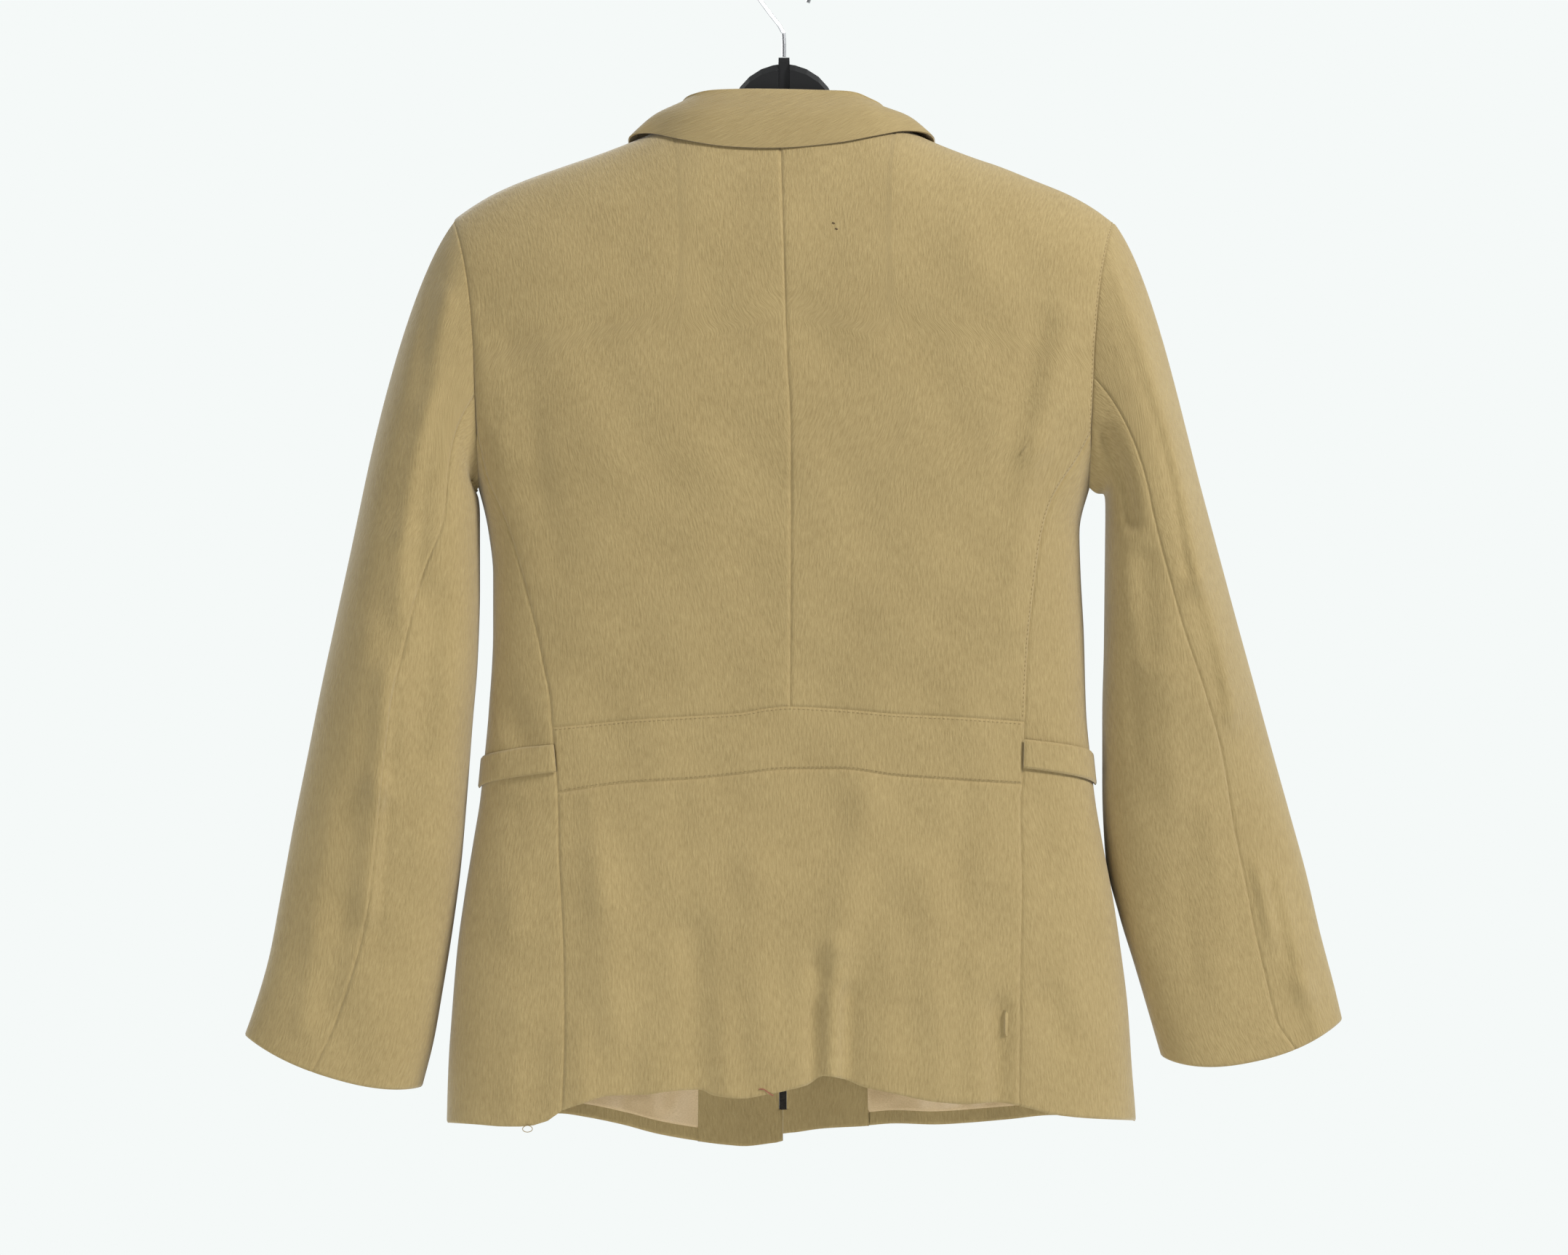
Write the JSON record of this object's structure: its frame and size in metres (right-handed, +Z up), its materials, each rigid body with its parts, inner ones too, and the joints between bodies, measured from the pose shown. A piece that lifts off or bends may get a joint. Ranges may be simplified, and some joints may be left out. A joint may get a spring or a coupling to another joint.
{
  "type": "jacket on a hanger",
  "caption": "Short zipped wool jacket with collar, waist band, half belts and two-piece sleeves, hanging on a plastic hanger with a wire hook.",
  "frame": {"origin": "inside top of the hanger hook, where it rests on the rail", "axes": "+Z up along the hook's stem; the jacket's back faces -Y and its zipped front +Y; +X across the back, to the wearer's right side"},
  "size_m": [0.7424, 0.1094, 0.8088],
  "materials": {
    "wool_camel": "brushed wool, matt",
    "satin_taupe": "satin",
    "zip_dark_metal": "dark",
    "plastic_black": "satin",
    "steel_wire": "bright"
  },
  "bodies": {
    "jacket": {"back_upper_left": "wool_camel", "back_upper_right": "wool_camel", "waist_band": "wool_camel", "back_skirt": "wool_camel", "side_panel_left": "wool_camel", "side_panel_right": "wool_camel", "front_left": "wool_camel", "front_right": "wool_camel", "facing_left": "wool_camel", "facing_right": "wool_camel", "front_lining_left": "satin_taupe", "front_lining_right": "satin_taupe", "collar": "wool_camel", "upper_sleeve_left": "wool_camel", "upper_sleeve_right": "wool_camel", "under_sleeve_left": "wool_camel", "under_sleeve_right": "wool_camel", "half_belt_left": "wool_camel", "half_belt_right": "wool_camel", "zip_chain": "zip_dark_metal", "zip_slider": "zip_dark_metal", "hanger": "plastic_black", "hanger_hook": "steel_wire"},
    "pull": {"zip_pull": "zip_dark_metal"}
  },
  "joints": [
    {"name": "pull_hinge", "type": "hinge", "parent": "jacket", "child": "pull", "pos_m": [-0.00073, 0.05487, -0.19967], "axis": [1, 0, 0], "range_deg": [0, 120]}
  ]
}
